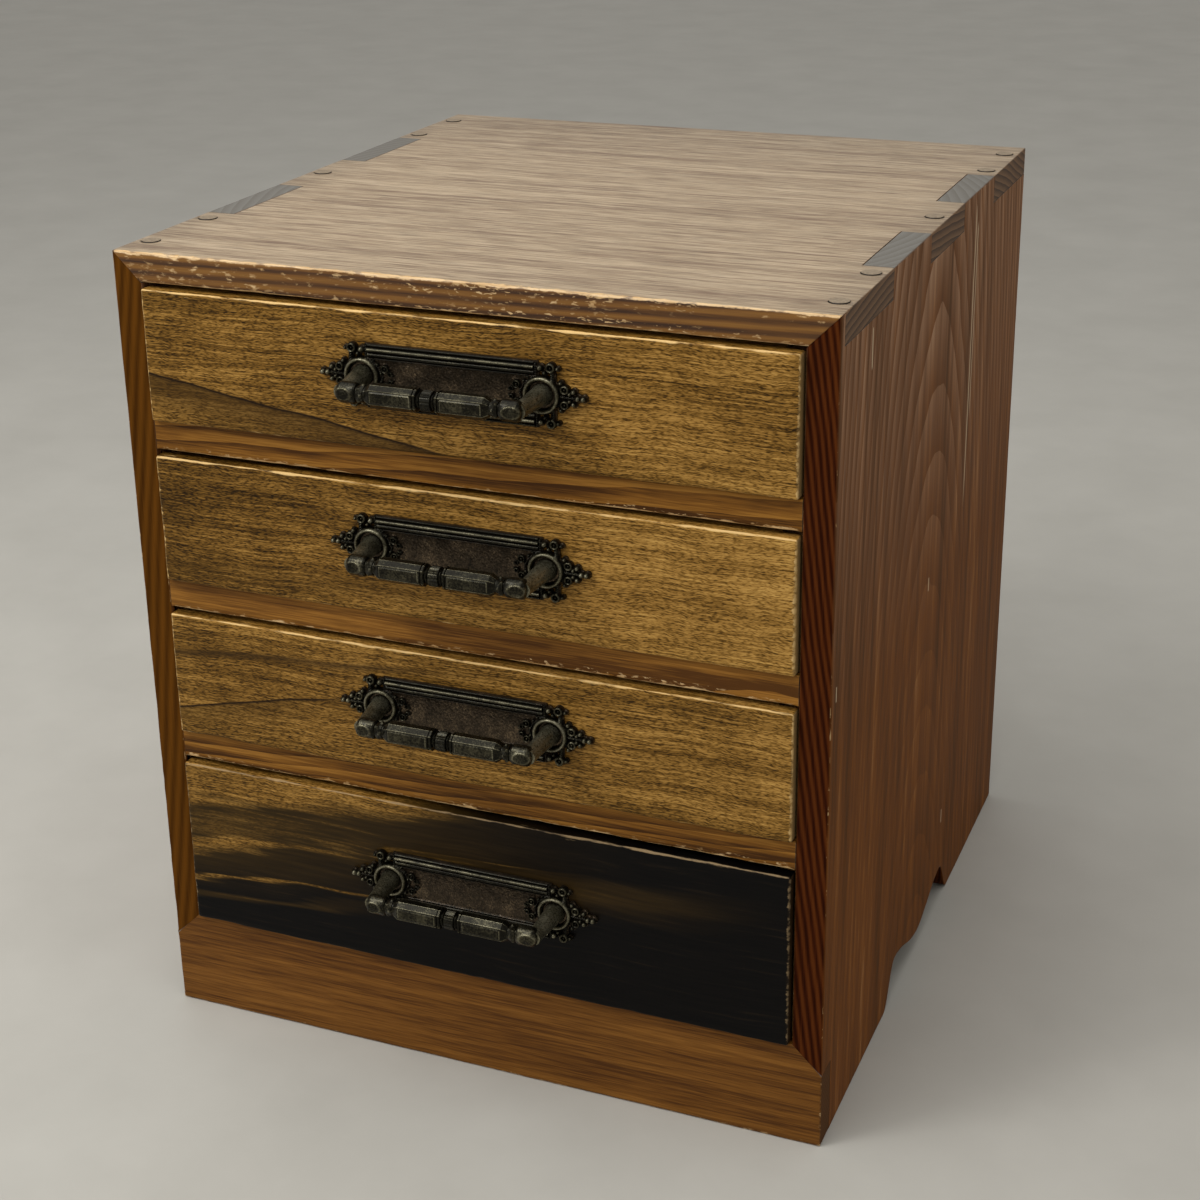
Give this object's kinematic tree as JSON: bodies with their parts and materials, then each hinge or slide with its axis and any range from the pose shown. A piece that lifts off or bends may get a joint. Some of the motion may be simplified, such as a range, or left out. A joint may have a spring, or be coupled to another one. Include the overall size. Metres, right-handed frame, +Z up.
{
  "type": "tansu chest",
  "caption": "Small wooden tansu chest of drawers with finger-jointed top, mitred plinth, bracket-cut sides and dark cast pulls; the drawers slide out.",
  "frame": {"origin": "middle of the overall box, pulls included, on the floor plane", "axes": "+Z up, -Y out of the drawer fronts, +X to the right seen from the front"},
  "size_m": [0.36, 0.4126, 0.417],
  "materials": {
    "carcass_wood": "satin oiled red-brown softwood, worn at the arrises",
    "golden_drawer_wood": "satin golden hardwood with dark flecks",
    "black_drawer_wood": "satin black-figured hardwood with golden streaks",
    "plug_wood": "dark end grain, satin",
    "inner_wood": "bare pale softwood",
    "pull_metal": "cast, blackened antique bronze, semi-gloss"
  },
  "bodies": {
    "carcass": {"top_panel": "carcass_wood", "left_side": "carcass_wood", "right_side": "carcass_wood", "back_panel": "inner_wood", "bottom_panel": "inner_wood", "plinth": "carcass_wood", "rail_1": "carcass_wood", "rail_2": "carcass_wood", "rail_3": "carcass_wood", "runner_left_1": "inner_wood", "runner_left_2": "inner_wood", "runner_left_3": "inner_wood", "runner_right_1": "inner_wood", "runner_right_2": "inner_wood", "runner_right_3": "inner_wood", "plug_left_1": "plug_wood", "plug_left_2": "plug_wood", "plug_left_3": "plug_wood", "plug_left_4": "plug_wood", "plug_left_5": "plug_wood", "plug_right_1": "plug_wood", "plug_right_2": "plug_wood", "plug_right_3": "plug_wood", "plug_right_4": "plug_wood", "plug_right_5": "plug_wood"},
    "drawer_1": {"drawer_1_front": "golden_drawer_wood", "drawer_1_left_side": "inner_wood", "drawer_1_right_side": "inner_wood", "drawer_1_back": "inner_wood", "drawer_1_bottom": "inner_wood", "drawer_1_pull_plate": "pull_metal", "drawer_1_pull_bar": "pull_metal"},
    "drawer_2": {"drawer_2_front": "golden_drawer_wood", "drawer_2_left_side": "inner_wood", "drawer_2_right_side": "inner_wood", "drawer_2_back": "inner_wood", "drawer_2_bottom": "inner_wood", "drawer_2_pull_plate": "pull_metal", "drawer_2_pull_bar": "pull_metal"},
    "drawer_3": {"drawer_3_front": "golden_drawer_wood", "drawer_3_left_side": "inner_wood", "drawer_3_right_side": "inner_wood", "drawer_3_back": "inner_wood", "drawer_3_bottom": "inner_wood", "drawer_3_pull_plate": "pull_metal", "drawer_3_pull_bar": "pull_metal"},
    "drawer_4": {"drawer_4_front": "black_drawer_wood", "drawer_4_left_side": "inner_wood", "drawer_4_right_side": "inner_wood", "drawer_4_back": "inner_wood", "drawer_4_bottom": "inner_wood", "drawer_4_pull_plate": "pull_metal", "drawer_4_pull_bar": "pull_metal"}
  },
  "joints": [
    {"name": "drawer_1_slide", "type": "slide", "parent": "carcass", "child": "drawer_1", "axis": [0, -1, 0], "range_m": [0, 0.28]},
    {"name": "drawer_2_slide", "type": "slide", "parent": "carcass", "child": "drawer_2", "axis": [0, -1, 0], "range_m": [0, 0.28]},
    {"name": "drawer_3_slide", "type": "slide", "parent": "carcass", "child": "drawer_3", "axis": [0, -1, 0], "range_m": [0, 0.28]},
    {"name": "drawer_4_slide", "type": "slide", "parent": "carcass", "child": "drawer_4", "axis": [0, -1, 0], "range_m": [0, 0.28]}
  ]
}
